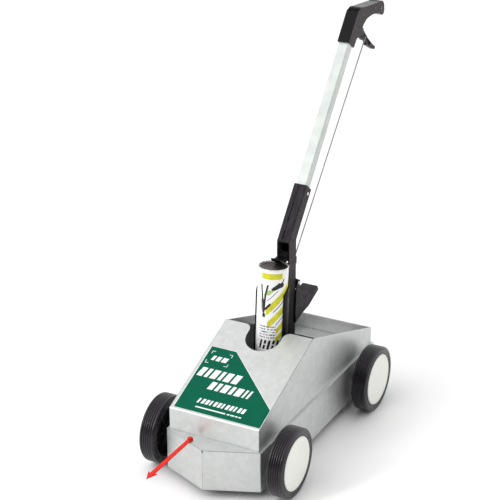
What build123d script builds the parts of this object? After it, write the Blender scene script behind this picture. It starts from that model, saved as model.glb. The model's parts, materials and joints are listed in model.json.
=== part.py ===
from build123d import *
import os
from math import atan2, cos, degrees, hypot, radians, sin, tan

os.makedirs("parts", exist_ok=True)

# Line striping machine: a wheeled sheet-metal hood that carries a spray wand with an
# upside-down marking can.  Millimetres.  +Z is up, the machine travels towards -Y, and +X
# is its right-hand side.  The origin is on the ground under the middle of the whole
# machine.  Side profiles are drawn as (distance behind the hood's front face, height).

# ---------------------------------------------------------------- driving dimensions
hood_front = -296.0          # Y of the hood's front face
hood_width = 210.0
hood_length = 560.0
sheet = 1.5                  # sheet-metal thickness
fold_height = 161.0          # top of the hood's upright front panel
ridge_y, ridge_height = 247.0, 259.0
rear_height = 151.0
lip = 12.0                   # width of the folded-in joining flanges
hem = 8.0                    # doubled edge round the open compartment

skirt_width = 222.0
skirt_bottom, skirt_top = 20.0, 111.0
skirt_front, skirt_rear = -3.0, 566.0
prow = 47.0                  # how far the V-shaped prow stands in front of the skirt
skirt_seat = 19.0            # width of the skirt's folded-in top flange

notch_radius, notch_centre, notch_corner = 40.0, 239.0, 16.0
label_low, label_high = 4.5, 184.0
label_left, label_right, label_shoulder, label_step = -98.0, 104.5, -37.5, 56.0
label_thickness = 0.3

wheel_radius, wheel_width, wheel_inner_x = 75.0, 36.0, 131.5
rim_radius, axle_radius, disc_thickness = 58.0, 6.0, 4.0
hub_length = 20.0
axle_height = wheel_radius
front_axle_y, rear_axle_y = 50.0, 465.0
running_gap = 0.05           # radial play of every turning joint
apart = 0.3                  # least gap between pieces that move past each other

wand_lean = 38.0             # degrees back from upright
bend_y, bend_height = 328.1, 435.0
tube_size, tube_wall = 23.5, 1.6
sleeve_size, sleeve_length = 30.0, 124.0
grip_start, grip_width, grip_depth = 458.0, 28.0, 33.0
bracket_front, bracket_rear, bracket_wall = 311.0, 344.5, 3.0

can_radius, can_lean = 32.5, 4.0
can_y, can_height = 267.0, 400.0
can_barrel, can_shoulder, can_wall = 208.0, 222.0, 0.8
can_stroke = 4.0

lever_y, lever_height = 332.0, 393.5     # pivot of the can-pressing lever
lever_crank = 15.5
rod_lean, rod_length, rod_radius, rod_x = 40.66, 540.7, 1.4, 9.5
trigger_radius = 34.0
pin_radius = 2.5
pedal_y, pedal_height = 350.0, 331.0
hang_y, hang_height, hang_radius = 772.0, 843.0, 3.0

pointer_x, pointer_y, pointer_tip = -42.0, -24.0, -197.0
pointer_bar, pointer_thick, pointer_head, pointer_head_length = 8.5, 3.0, 20.0, 24.0

# ---------------------------------------------------------------- derived places
half_hood, half_skirt = hood_width / 2, skirt_width / 2
slope_angle = degrees(atan2(ridge_height - fold_height, ridge_y))
slope_sin, slope_cos = sin(radians(slope_angle)), cos(radians(slope_angle))
slope_length = hypot(ridge_y, ridge_height - fold_height)
lean_sin, lean_cos = sin(radians(wand_lean)), cos(radians(wand_lean))
can_sin, can_cos = sin(radians(can_lean)), cos(radians(can_lean))
rod_sin, rod_cos = sin(radians(rod_lean)), cos(radians(rod_lean))
crank_y = lever_y + lever_crank * rod_cos
crank_height = lever_height - lever_crank * rod_sin
hook_y = crank_y + rod_length * rod_sin
hook_height = crank_height + rod_length * rod_cos
trigger_y = hook_y - trigger_radius * rod_cos
trigger_height = hook_height + trigger_radius * rod_sin
hub_inner_x = wheel_inner_x + 2
hub_outer_x = hub_inner_x + hub_length
floor_top = skirt_top + 2 * sheet


def plan(z):
    """Horizontal sketch plane: x to the right, y back from the hood's front face."""
    return Plane(origin=(0, hood_front, z))


def side(x=0.0):
    """Upright sketch plane seen from the right: (distance back, height)."""
    return Plane(origin=(x, hood_front, 0), x_dir=(0, 1, 0), z_dir=(1, 0, 0))


def along_wand(u, n=0.0):
    """Side-profile point that lies u along the wand and n in front of its axis."""
    return (bend_y + u * lean_sin - n * lean_cos, bend_height + u * lean_cos + n * lean_sin)


slope = Plane(
    origin=(0, hood_front, fold_height), x_dir=(1, 0, 0), z_dir=(0, -slope_sin, slope_cos)
)
wand = Plane(
    origin=(0, hood_front + bend_y, bend_height), x_dir=(1, 0, 0), z_dir=(0, lean_sin, lean_cos)
)
can_axis = Plane(
    origin=(0, hood_front + can_y, can_height), x_dir=(1, 0, 0), z_dir=(0, can_sin, can_cos)
)

# ================================================================ sheet-metal body
under_fold = fold_height + sheet * tan(radians(slope_angle)) - sheet / slope_cos
under_ridge = (ridge_y + sheet * slope_sin, ridge_height - sheet * slope_cos)
rivet_places = [(x, y) for x in (-97.5, 97.5) for y in (28.0, 150.0, 360.0, 530.0)]
rivet_radius = 2.0

# Front and sloping top in one folded sheet, with the notch that the can stands in.
with BuildPart() as slope_panel:
    with BuildSketch(side()):
        Polygon(
            (0, skirt_top), (0, fold_height), (ridge_y, ridge_height), under_ridge,
            (sheet, under_fold), (sheet, skirt_top), align=None,
        )
    extrude(amount=half_hood, both=True)
    folds = slope_panel.edges().filter_by(Axis.X).filter_by_position(
        Axis.Z, fold_height - 2 * sheet, fold_height + 0.1
    )
    fillet(folds.sort_by(Axis.Y)[0], radius=3.5)
    with BuildSketch(plan(skirt_top)):
        with Locations((0, sheet + lip / 2)):
            Rectangle(hood_width - 2 * lip - 4, lip)
    extrude(amount=sheet)
    with BuildSketch(slope.offset(-10)):
        with Locations((0, notch_centre)):
            Circle(notch_radius)
        with Locations((0, notch_centre + 30)):
            Rectangle(2 * notch_radius, 60)
    extrude(amount=20, mode=Mode.SUBTRACT)
    notch_lips = slope_panel.edges().filter_by(
        lambda e: abs(abs(e.center().X) - notch_radius) < 0.1
        and abs(e.length - sheet) < 0.05
        and e.center().Z > ridge_height - 3
    )
    fillet(notch_lips, radius=notch_corner)
slope_panel.part.label = "slope_panel"
export_step(slope_panel.part, "parts/slope_panel.step")

# Side sheets: folded-in joining flanges in front, under the slope, below and behind, and
# a hemmed rim round the open compartment.
rear_inside = hood_length - sheet
side_outline = [
    (sheet, skirt_top), (sheet, under_fold), under_ridge,
    (rear_inside, rear_height), (rear_inside, skirt_top),
]
flange_ridge = (under_ridge[0] + sheet * slope_sin, under_ridge[1] - sheet * slope_cos)
with BuildPart() as side_panel_right:
    with BuildSketch(side(half_hood - sheet)):
        Polygon(*side_outline, align=None)
    extrude(amount=sheet)
    with BuildSketch(side(half_hood - sheet)):
        Polygon(*side_outline, align=None)
        Polygon(
            (2 * sheet, skirt_top + sheet), (2 * sheet, under_fold - sheet), flange_ridge,
            (flange_ridge[0], ridge_height + 40), (rear_inside - sheet, ridge_height + 40),
            (rear_inside - sheet, skirt_top + sheet), align=None, mode=Mode.SUBTRACT,
        )
    extrude(amount=-lip)
    with BuildSketch(side(half_hood - sheet)):
        Polygon(
            (under_ridge[0] + 6, under_ridge[1] - 6 * 0.34), (rear_inside - 3, rear_height + 0.6),
            (rear_inside - 3, rear_height - hem), (under_ridge[0] + 6, under_ridge[1] - hem - 3),
            align=None,
        )
    extrude(amount=-sheet)
    with BuildSketch(Plane.XY.offset(skirt_top)):
        for x, y in rivet_places:
            with Locations((x, hood_front + y)):
                Circle(rivet_radius + running_gap)
    extrude(amount=2 * sheet, mode=Mode.SUBTRACT)
side_panel_right.part.label = "side_panel_right"
export_step(side_panel_right.part, "parts/side_panel_right.step")

with BuildPart() as side_panel_left:
    mirror(side_panel_right.part, about=Plane.YZ)
side_panel_left.part.label = "side_panel_left"
export_step(side_panel_left.part, "parts/side_panel_left.step")

with BuildPart() as rear_wall:
    with BuildSketch(plan(skirt_top)):
        with Locations((0, hood_length - sheet / 2)):
            Rectangle(hood_width, sheet)
    extrude(amount=rear_height - skirt_top)
    with BuildSketch(plan(skirt_top)):
        with Locations((0, rear_inside - lip / 2)):
            Rectangle(hood_width - 2 * lip - 4, lip)
    extrude(amount=sheet)
    with BuildSketch(plan(rear_height - hem)):
        with Locations((0, rear_inside - sheet / 2)):
            Rectangle(hood_width - 2 * lip - 4, sheet)
    extrude(amount=hem)
rear_wall.part.label = "rear_wall"
export_step(rear_wall.part, "parts/rear_wall.step")

# Skirt: two bent sheets that meet in a seam at the tip of the V-shaped prow and behind.
seam = 0.25
with BuildPart() as skirt_right:
    with BuildSketch(plan(skirt_bottom)) as skirt_wall:
        Polygon(
            (0, skirt_front - prow), (half_skirt, skirt_front), (half_skirt, skirt_rear),
            (-half_skirt, skirt_rear), (-half_skirt, skirt_front), align=None,
        )
        fillet(skirt_wall.vertices().sort_by(Axis.Y)[1:], radius=4)
        offset(amount=-sheet, kind=Kind.INTERSECTION, mode=Mode.SUBTRACT)
    extrude(amount=skirt_top - skirt_bottom)
    with BuildSketch(plan(skirt_top - sheet)) as skirt_flange:
        Polygon(
            (0, skirt_front - prow), (half_skirt, skirt_front), (half_skirt, skirt_rear),
            (-half_skirt, skirt_rear), (-half_skirt, skirt_front), align=None,
        )
        fillet(skirt_flange.vertices().sort_by(Axis.Y)[1:], radius=4)
        offset(amount=-skirt_seat, kind=Kind.INTERSECTION, mode=Mode.SUBTRACT)
    extrude(amount=sheet)
    split(bisect_by=Plane.YZ.offset(seam), keep=Keep.TOP)
    with BuildSketch(plan(skirt_top - 4)):
        with Locations((0, skirt_front - prow)):
            Circle(2.6)
    extrude(amount=10, mode=Mode.SUBTRACT)
    with BuildSketch(side(half_skirt - 10)):
        with Locations((front_axle_y, axle_height), (rear_axle_y, axle_height)):
            Circle(axle_radius + 0.1)
    extrude(amount=20, mode=Mode.SUBTRACT)
    with BuildSketch(Plane.XY.offset(skirt_top - 5)):
        for x, y in rivet_places:
            with Locations((x, hood_front + y)):
                Circle(rivet_radius + running_gap)
        with Locations((-pointer_x, hood_front + pointer_y)):
            Circle(3 + running_gap)
    extrude(amount=10, mode=Mode.SUBTRACT)
skirt_right.part.label = "skirt_right"
export_step(skirt_right.part, "parts/skirt_right.step")

with BuildPart() as skirt_left:
    mirror(skirt_right.part, about=Plane.YZ)
skirt_left.part.label = "skirt_left"
export_step(skirt_left.part, "parts/skirt_left.step")

with BuildPart() as prow_plate:
    with BuildSketch(plan(skirt_top)):
        Polygon(
            (0, skirt_front - prow + 1.2), (half_skirt - 2.6, skirt_front - 0.4),
            (half_skirt - 2.6, -apart), (2.6 - half_skirt, -apart),
            (2.6 - half_skirt, skirt_front - 0.4), align=None,
        )
        with Locations((0, skirt_front - prow)):
            Circle(3.2, mode=Mode.SUBTRACT)
        with Locations((pointer_x, pointer_y)):
            Circle(3 + running_gap, mode=Mode.SUBTRACT)
    extrude(amount=sheet)
prow_plate.part.label = "prow_plate"
export_step(prow_plate.part, "parts/prow_plate.step")

# Floor of the hood: the spray leaves through its round hole.
spray_y = can_y - 245 * can_sin
with BuildPart() as floor_plate:
    with BuildSketch(plan(skirt_top + sheet)):
        with Locations((0, hood_length / 2)):
            Rectangle(hood_width - 2 * sheet - 0.6, hood_length - 4 * sheet - 0.6)
        with Locations((0, spray_y)):
            Circle(40, mode=Mode.SUBTRACT)
        for x, y in rivet_places:
            with Locations((x, y)):
                Circle(rivet_radius + running_gap, mode=Mode.SUBTRACT)
    extrude(amount=sheet)
floor_plate.part.label = "floor_plate"
export_step(floor_plate.part, "parts/floor_plate.step")

# Partition between the spray bay and the compartment for spare cans.
partition_y, partition_top = 366.0, 196.0
with BuildPart() as partition:
    with BuildSketch(side()):
        Polygon(
            (partition_y, floor_top), (partition_y, partition_top),
            (partition_y + sheet, partition_top), (partition_y + sheet, floor_top + sheet),
            (partition_y + lip, floor_top + sheet), (partition_y + lip, floor_top), align=None,
        )
    extrude(amount=half_hood - sheet - 0.3, both=True)
    fillet(partition.edges().filter_by(Axis.Z), radius=0.6)
    for x in (-1, 1):
        with BuildSketch(plan(floor_top)):
            with Locations((x * 97.5, 372)):
                Rectangle(14, 30)
        extrude(amount=4, mode=Mode.SUBTRACT)
partition.part.label = "partition"
export_step(partition.part, "parts/partition.step")

with BuildPart() as body_rivets:
    for x, y in rivet_places:
        with BuildSketch(plan(skirt_top - sheet - 1.5)):
            with Locations((x, y)):
                Circle(3.4)
        extrude(amount=1.5)
        with BuildSketch(plan(skirt_top - sheet)):
            with Locations((x, y)):
                Circle(rivet_radius)
        extrude(amount=3 * sheet)
        with BuildSketch(plan(floor_top)):
            with Locations((x, y)):
                Circle(3.8)
        extrude(amount=1.6, taper=20)
body_rivets.part.label = "body_rivets"
export_step(body_rivets.part, "parts/body_rivets.step")

with BuildPart() as front_label:
    with BuildSketch(slope):
        Polygon(
            (label_left, label_low), (label_right, label_low), (label_right, label_step),
            (label_shoulder, label_high), (label_left, label_high), align=None,
        )
    extrude(amount=label_thickness)
front_label.part.label = "front_label"
export_step(front_label.part, "parts/front_label.step")

# ================================================================ axles and wheels
for place, axle_y in (("front", front_axle_y), ("rear", rear_axle_y)):
    with BuildPart() as axle:
        with BuildSketch(side()):
            with Locations((axle_y, axle_height)):
                Circle(axle_radius)
        extrude(amount=wheel_inner_x + 26, both=True)
        chamfer(axle.edges().filter_by(GeomType.CIRCLE), length=1)
    axle.part.label = f"{place}_axle"
    export_step(axle.part, f"parts/{place}_axle.step")

    # Bearing plates carry the axle behind the skirt's sides.
    with BuildPart() as axle_plates:
        for sign in (-1, 1):
            with BuildSketch(side(sign * (half_skirt - sheet))):
                with Locations((axle_y, axle_height + 4)):
                    RectangleRounded(46, 58, 6)
                with Locations((axle_y, axle_height)):
                    Circle(axle_radius + 0.02, mode=Mode.SUBTRACT)
            extrude(amount=-3 * sign)
    axle_plates.part.label = f"{place}_axle_plates"
    export_step(axle_plates.part, f"parts/{place}_axle_plates.step")

with BuildPart() as wheel_spacers:
    for axle_y in (front_axle_y, rear_axle_y):
        for sign in (-1, 1):
            with BuildSketch(side(sign * half_skirt)):
                with Locations((axle_y, axle_height)):
                    Circle(9.5)
                    Circle(axle_radius + 0.02, mode=Mode.SUBTRACT)
            extrude(amount=sign * (wheel_inner_x + 1.5 - half_skirt))
wheel_spacers.part.label = "wheel_spacers"
export_step(wheel_spacers.part, "parts/wheel_spacers.step")

with BuildPart() as axle_clips:
    for axle_y in (front_axle_y, rear_axle_y):
        for sign in (-1, 1):
            with BuildSketch(side(sign * (hub_outer_x + 0.6))):
                with Locations((axle_y, axle_height)):
                    Circle(10.5)
                    Circle(axle_radius + 0.02, mode=Mode.SUBTRACT)
            extrude(amount=sign * 1.2)
axle_clips.part.label = "axle_clips"
export_step(axle_clips.part, "parts/axle_clips.step")

tread_grooves, groove_width, groove_depth = 5, 2.0, 2.4
rib_pitch = (wheel_width - 8) / tread_grooves
bush_radius = 9.0
for place, axle_y in (("front", front_axle_y), ("rear", rear_axle_y)):
    for hand, sign in (("left", -1), ("right", 1)):
        name = f"{place}_{hand}"
        middle_x = sign * (wheel_inner_x + wheel_width / 2)
        disc_x = sign * (wheel_inner_x + wheel_width - disc_thickness)
        with BuildPart() as tyre:
            with BuildSketch(side(middle_x)):
                with Locations((axle_y, axle_height)):
                    Circle(wheel_radius)
                    Circle(rim_radius, mode=Mode.SUBTRACT)
            extrude(amount=wheel_width / 2, both=True)
            rims = tyre.edges().filter_by(GeomType.CIRCLE).sort_by(SortBy.RADIUS)
            fillet(rims[-2:], radius=2.5)
            for groove in range(tread_grooves):
                groove_x = middle_x + (groove - (tread_grooves - 1) / 2) * rib_pitch
                with BuildSketch(side(groove_x)):
                    with Locations((axle_y, axle_height)):
                        Circle(wheel_radius + 1)
                        Circle(wheel_radius - groove_depth, mode=Mode.SUBTRACT)
                extrude(amount=groove_width / 2, both=True, mode=Mode.SUBTRACT)
        tyre.part.label = f"tyre_{name}"
        export_step(tyre.part, f"parts/tyre_{name}.step")

        # Moulded wheel centre: rim, web with ribs, and a boss for the bush.
        with BuildPart() as wheel_core:
            with BuildSketch(side(disc_x - sign * 26)):
                with Locations((axle_y, axle_height)):
                    Circle(rim_radius)
                    Circle(rim_radius - 3, mode=Mode.SUBTRACT)
            extrude(amount=sign * 26)
            with BuildSketch(side(middle_x - sign * 2)):
                with Locations((axle_y, axle_height)):
                    Circle(rim_radius - 2)
            extrude(amount=sign * 4)
            with BuildSketch(side(sign * hub_inner_x)):
                with Locations((axle_y, axle_height)):
                    Circle(15)
            extrude(amount=sign * hub_length)
            with BuildSketch(side(middle_x - sign * 9)):
                with Locations((axle_y, axle_height)):
                    with PolarLocations(0, 6):
                        with Locations((35, 0)):
                            Rectangle(45, 3)
            extrude(amount=sign * 8)
            with BuildSketch(side(sign * wheel_inner_x)):
                with Locations((axle_y, axle_height)):
                    Circle(bush_radius)
            extrude(amount=sign * 30, mode=Mode.SUBTRACT)
        wheel_core.part.label = f"wheel_core_{name}"
        export_step(wheel_core.part, f"parts/wheel_core_{name}.step")

        with BuildPart() as bush:
            with BuildSketch(side(sign * hub_inner_x)):
                with Locations((axle_y, axle_height)):
                    Circle(bush_radius)
                    Circle(axle_radius + running_gap, mode=Mode.SUBTRACT)
            extrude(amount=sign * hub_length)
        bush.part.label = f"bush_{name}"
        export_step(bush.part, f"parts/bush_{name}.step")

        with BuildPart() as hub_disc:
            with BuildSketch(side(disc_x)):
                with Locations((axle_y, axle_height)):
                    Circle(rim_radius - running_gap)
            extrude(amount=sign * disc_thickness)
            outer_rim = hub_disc.edges().filter_by(GeomType.CIRCLE).sort_by(Axis.X)
            fillet(outer_rim[-1 if sign > 0 else 0], radius=1)
        hub_disc.part.label = f"hub_disc_{name}"
        export_step(hub_disc.part, f"parts/hub_disc_{name}.step")

# ================================================================ direction pointer
pointer_bottom = skirt_top + sheet + apart
with BuildPart() as pointer:
    with BuildSketch(plan(pointer_bottom)):
        with Locations((pointer_x, (pointer_y + pointer_tip + pointer_head_length) / 2)):
            Rectangle(pointer_bar, pointer_y - pointer_tip - pointer_head_length)
        with Locations((pointer_x, pointer_y)):
            Circle(6)
        Polygon(
            (pointer_x, pointer_tip),
            (pointer_x + pointer_head / 2, pointer_tip + pointer_head_length),
            (pointer_x - pointer_head / 2, pointer_tip + pointer_head_length), align=None,
        )
        with Locations((pointer_x, pointer_y)):
            Circle(3 + running_gap, mode=Mode.SUBTRACT)
    extrude(amount=pointer_thick)
pointer.part.label = "pointer"
export_step(pointer.part, "parts/pointer.step")

with BuildPart() as pointer_pivot:
    with BuildSketch(plan(skirt_top - sheet - 2)):
        with Locations((pointer_x, pointer_y)):
            RegularPolygon(5, 6)
    extrude(amount=2)
    with BuildSketch(plan(skirt_top - sheet)):
        with Locations((pointer_x, pointer_y)):
            Circle(3)
    extrude(amount=pointer_bottom + pointer_thick + apart - skirt_top + sheet)
    with BuildSketch(plan(pointer_bottom + pointer_thick + apart)):
        with Locations((pointer_x, pointer_y)):
            Circle(5.4)
    extrude(amount=2.2)
    fillet(pointer_pivot.edges().sort_by(Axis.Z)[-1], radius=1.4)
pointer_pivot.part.label = "pointer_pivot"
export_step(pointer_pivot.part, "parts/pointer_pivot.step")

# ================================================================ spray wand, fixed parts
socket_gap, socket_wall, foot_height = 0.2, 2.0, floor_top + 2
inner_half = sleeve_size / 2 - bracket_wall
with BuildPart() as wand_socket:
    with BuildSketch(plan(floor_top)):
        with Locations((0, 331)):
            Rectangle(56, 60)
    extrude(amount=2)
    socket_middle = (bracket_front + bracket_rear) / 2
    socket_depth = bracket_rear - bracket_front + 2 * socket_gap
    with BuildSketch(plan(foot_height)):
        with Locations((0, socket_middle)):
            Rectangle(
                sleeve_size + 2 * (socket_gap + socket_wall), socket_depth + 2 * socket_wall
            )
            Rectangle(sleeve_size + 2 * socket_gap, socket_depth, mode=Mode.SUBTRACT)
    extrude(amount=40)
    with BuildSketch(side()):
        with Locations((socket_middle, foot_height + 20)):
            Circle(3.05)
    extrude(amount=30, both=True, mode=Mode.SUBTRACT)
wand_socket.part.label = "wand_socket"
export_step(wand_socket.part, "parts/wand_socket.step")

with BuildPart() as socket_bolt:
    with BuildSketch(side(-23)):
        with Locations((socket_middle, foot_height + 20)):
            Circle(3)
    extrude(amount=42)
    with BuildSketch(side(sleeve_size / 2 + socket_gap + socket_wall)):
        with Locations((socket_middle, foot_height + 20)):
            RegularPolygon(5.5, 6)
    extrude(amount=4)
    with BuildSketch(side(-(sleeve_size / 2 + socket_gap + socket_wall))):
        with Locations((socket_middle, foot_height + 20)):
            RegularPolygon(5.5, 6)
    extrude(amount=-5)
socket_bolt.part.label = "socket_bolt"
export_step(socket_bolt.part, "parts/socket_bolt.step")

# The bracket: a channel open towards the can, bent into a square sleeve for the tube.
half_sleeve = sleeve_size / 2
bend_front_u = (bracket_front - bend_y + half_sleeve * lean_cos) / lean_sin
bend_rear_u = (bracket_rear - bend_y - half_sleeve * lean_cos) / lean_sin
slot_width, slot_depth = 5.0, 2.8
sleeve_front = Plane(wand.location * Location((0, -half_sleeve, 0), (90, 0, 0)))
sleeve_bolt_place = along_wand(sleeve_length - 14.5)
with BuildPart() as wand_bracket:
    with BuildSketch(side()):
        Polygon(
            (bracket_front, foot_height), along_wand(bend_front_u, n=half_sleeve),
            along_wand(sleeve_length, n=half_sleeve), along_wand(sleeve_length, n=-half_sleeve),
            along_wand(bend_rear_u, n=-half_sleeve), (bracket_rear, foot_height), align=None,
        )
    extrude(amount=half_sleeve, both=True)
    with BuildSketch(side()):
        with Locations((pedal_y, pedal_height)):
            Circle(6)
        Polygon(
            (bracket_rear - 2, pedal_height + 14), (pedal_y + 3, pedal_height + 5),
            (pedal_y + 3, pedal_height - 5), (bracket_rear - 2, pedal_height - 14), align=None,
        )
        # lugs beside the slot that the lever's crank moves in
        Polygon(
            (bracket_rear - 2, crank_height + 14), (bracket_rear + 3.5, crank_height + 9),
            (bracket_rear + 3.5, crank_height - 5), (bracket_rear - 2, crank_height - 10),
            align=None,
        )
    extrude(amount=half_sleeve, both=True)
    outer_edges = wand_bracket.edges().filter_by(
        lambda e: abs(abs(e.center().X) - half_sleeve) < 0.01 and e.length > 80
    )
    fillet(outer_edges, radius=1.6)
    with BuildSketch(side()):
        with Locations((bracket_rear + 10, pedal_height)):
            Rectangle(20, 34)
    extrude(amount=9, both=True, mode=Mode.SUBTRACT)
    with BuildSketch(side()):
        Polygon(
            (bracket_front - 5, foot_height + 4), (bracket_front - 5, bend_height + 1),
            (bracket_front + 3, bend_height + 1), (bracket_rear - bracket_wall, bend_height - 13),
            (bracket_rear - bracket_wall, foot_height + 4), align=None,
        )
    extrude(amount=inner_half, both=True, mode=Mode.SUBTRACT)
    with BuildSketch(wand):
        Rectangle(tube_size + 0.1, tube_size + 0.1)
    extrude(amount=sleeve_length + 10, mode=Mode.SUBTRACT)
    with BuildSketch(plan(crank_height - 9)):
        with Locations((2, bracket_rear)):
            Rectangle(2 * inner_half - 4, 12)
    extrude(amount=26, mode=Mode.SUBTRACT)
    with BuildSketch(side()):
        with Locations((pedal_y, pedal_height), (lever_y, lever_height)):
            Circle(pin_radius + 0.02)
        with Locations((socket_middle, foot_height + 20)):
            Circle(3.05)
    extrude(amount=30, both=True, mode=Mode.SUBTRACT)
    with BuildSketch(side(half_sleeve)):
        with Locations(sleeve_bolt_place):
            Circle(2.05)
    extrude(amount=-2 * sleeve_size, both=True, mode=Mode.SUBTRACT)
    # moulded grooves on the sleeve's front face
    for u_low, u_high in ((-3, 17), (36, 81)):
        with BuildSketch(sleeve_front):
            with Locations((-2.5, (u_low + u_high) / 2)):
                RectangleRounded(slot_width, u_high - u_low, slot_width / 2 - 0.1)
        extrude(amount=-slot_depth, both=True, mode=Mode.SUBTRACT)
    with BuildSketch(sleeve_front):
        with Locations((-2.5, sleeve_length / 2 + 20)):
            Rectangle(1.4, sleeve_length)
    extrude(amount=-0.9, both=True, mode=Mode.SUBTRACT)
wand_bracket.part.label = "wand_bracket"
export_step(wand_bracket.part, "parts/wand_bracket.step")

with BuildPart() as wand_tube:
    with BuildSketch(wand):
        RectangleRounded(tube_size, tube_size, 2)
        RectangleRounded(
            tube_size - 2 * tube_wall, tube_size - 2 * tube_wall, 1, mode=Mode.SUBTRACT
        )
    extrude(amount=grip_start + 68)
    with BuildSketch(side()):
        with Locations(sleeve_bolt_place):
            Circle(2.05)
        with Locations(along_wand(grip_start + 20)):
            Circle(1.85)
    extrude(amount=30, both=True, mode=Mode.SUBTRACT)
wand_tube.part.label = "wand_tube"
export_step(wand_tube.part, "parts/wand_tube.step")

with BuildPart() as sleeve_bolt:
    with BuildSketch(side(-half_sleeve - 3)):
        with Locations(sleeve_bolt_place):
            Circle(2)
    extrude(amount=sleeve_size + 3)
    with BuildSketch(side(half_sleeve)):
        with Locations(sleeve_bolt_place):
            Circle(3.8)
    extrude(amount=2.4)
    fillet(sleeve_bolt.edges().sort_by(Axis.X)[-1], radius=1.2)
    with BuildSketch(side(-half_sleeve)):
        with Locations(sleeve_bolt_place):
            RegularPolygon(3.8, 6)
    extrude(amount=-2.6)
sleeve_bolt.part.label = "sleeve_bolt"
export_step(sleeve_bolt.part, "parts/sleeve_bolt.step")

# Cradle: a shell that holds the can from behind and grips its sides, with a web to the
# channel.  Its front corners are cut off at a slant.
cradle_inner, cradle_outer, cradle_top, cradle_end = 33.3, 36.0, 46.0, 240.0
cradle_reach = 10.6          # how far the shell reaches in front of the can's axis
with BuildPart() as can_cradle:
    with BuildSketch(can_axis.offset(-cradle_end)):
        Circle(cradle_outer)
        with Locations((0, -cradle_outer)):
            Rectangle(3 * cradle_outer, 2 * (cradle_outer - cradle_reach), mode=Mode.SUBTRACT)
    extrude(amount=cradle_end - cradle_top)
    with BuildSketch(side()):
        Polygon(
            (can_y, can_height - cradle_top - 12), (bracket_front, can_height - cradle_top - 30),
            (bracket_front, foot_height + 44), (can_y, foot_height + 60), align=None,
        )
    extrude(amount=half_sleeve, both=True)
    with BuildSketch(side()):
        Polygon(
            (can_y, can_height), (bracket_front - 2, can_height),
            (bracket_front - 2, foot_height), (can_y, foot_height), align=None,
        )
    extrude(amount=6, both=True, mode=Mode.SUBTRACT)
    with BuildSketch(can_axis.offset(-cradle_end - 80)):
        Circle(cradle_outer - 1)
        with Locations((0, cradle_outer)):
            Rectangle(12, 2 * cradle_outer - 10, mode=Mode.SUBTRACT)
    extrude(amount=80, mode=Mode.SUBTRACT)
    with BuildSketch(can_axis.offset(-cradle_end)):
        with Locations((0, cradle_outer / 2 + 2)):
            Rectangle(12, cradle_outer)
    extrude(amount=cradle_end - cradle_top - 14)
    with BuildSketch(can_axis.offset(-cradle_end - 90)):
        Circle(cradle_inner)
    extrude(amount=cradle_end + 90, mode=Mode.SUBTRACT)
    with BuildSketch(side()):
        Polygon(
            (can_y - 40, can_height), (can_y - 40, can_height - cradle_top - 12),
            (can_y - cradle_reach - 4, can_height - cradle_top - 12),
            (can_y + 4, can_height - cradle_top + 2), (can_y + 4, can_height), align=None,
        )
    extrude(amount=60, both=True, mode=Mode.SUBTRACT)
    with BuildSketch(side()):
        Polygon(
            (bracket_front, foot_height), (bracket_front, can_height),
            (bracket_front + 60, can_height), (bracket_front + 60, foot_height), align=None,
        )
    extrude(amount=60, both=True, mode=Mode.SUBTRACT)
can_cradle.part.label = "can_cradle"
export_step(can_cradle.part, "parts/can_cradle.step")

# Seat plate under the cradle, which holds the spray head still.
head_radius, head_top, head_bottom, seat_thick = 8.0, 232.8, 250.0, 5.0
with BuildPart() as nozzle_seat:
    with BuildSketch(can_axis.offset(-cradle_end - seat_thick)):
        Circle(cradle_outer)
        with Locations((0, -cradle_outer)):
            Rectangle(3 * cradle_outer, 2 * cradle_outer - 36, mode=Mode.SUBTRACT)
        Circle(14)
        Circle(head_radius + 0.02, mode=Mode.SUBTRACT)
    extrude(amount=seat_thick)
nozzle_seat.part.label = "nozzle_seat"
export_step(nozzle_seat.part, "parts/nozzle_seat.step")

stem_radius, stem_top = 2.0, 214.0
with BuildPart() as spray_head:
    with BuildSketch(can_axis.offset(-head_bottom)):
        Circle(head_radius)
    extrude(amount=head_bottom - head_top)
    with BuildSketch(can_axis.offset(-head_bottom)):
        Circle(head_radius - 3)
    extrude(amount=4, mode=Mode.SUBTRACT)
    with BuildSketch(can_axis.offset(-head_top - 6)):
        Circle(stem_radius)
    extrude(amount=6, mode=Mode.SUBTRACT)
spray_head.part.label = "spray_head"
export_step(spray_head.part, "parts/spray_head.step")

with BuildPart() as valve_stem:
    with BuildSketch(can_axis.offset(-head_top - 6)):
        Circle(stem_radius)
    extrude(amount=head_top + 6 - stem_top)
valve_stem.part.label = "valve_stem"
export_step(valve_stem.part, "parts/valve_stem.step")

# ================================================================ the can, base upwards
valve_radius, cup_end = 15.9, 226.0
can_side = Plane(
    origin=can_axis.origin, x_dir=(1, 0, 0), z_dir=(0, -can_cos, can_sin)
)
can_spin = Axis(can_axis.origin, (0, can_sin, can_cos))
with BuildPart() as can_body:
    with BuildSketch(can_side):
        with BuildLine():
            Polyline(
                (valve_radius - can_wall, -can_shoulder), (valve_radius, -can_shoulder),
                (valve_radius + 3, -can_shoulder + 1),
            )
            ThreePointArc(
                (valve_radius + 3, -can_shoulder + 1), (28.4, -can_barrel - 6.8),
                (can_radius, -can_barrel),
            )
            Polyline(
                (can_radius, -can_barrel), (can_radius, -3), (can_radius - can_wall, -3),
                (can_radius - can_wall, -can_barrel),
            )
            ThreePointArc(
                (can_radius - can_wall, -can_barrel), (27.6, -can_barrel - 5.6),
                (valve_radius + 2, -can_shoulder + 2),
            )
            Line(
                (valve_radius + 2, -can_shoulder + 2), (valve_radius - can_wall, -can_shoulder)
            )
        make_face()
    revolve(axis=can_spin)
can_body.part.label = "can_body"
export_step(can_body.part, "parts/can_body.step")

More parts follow.
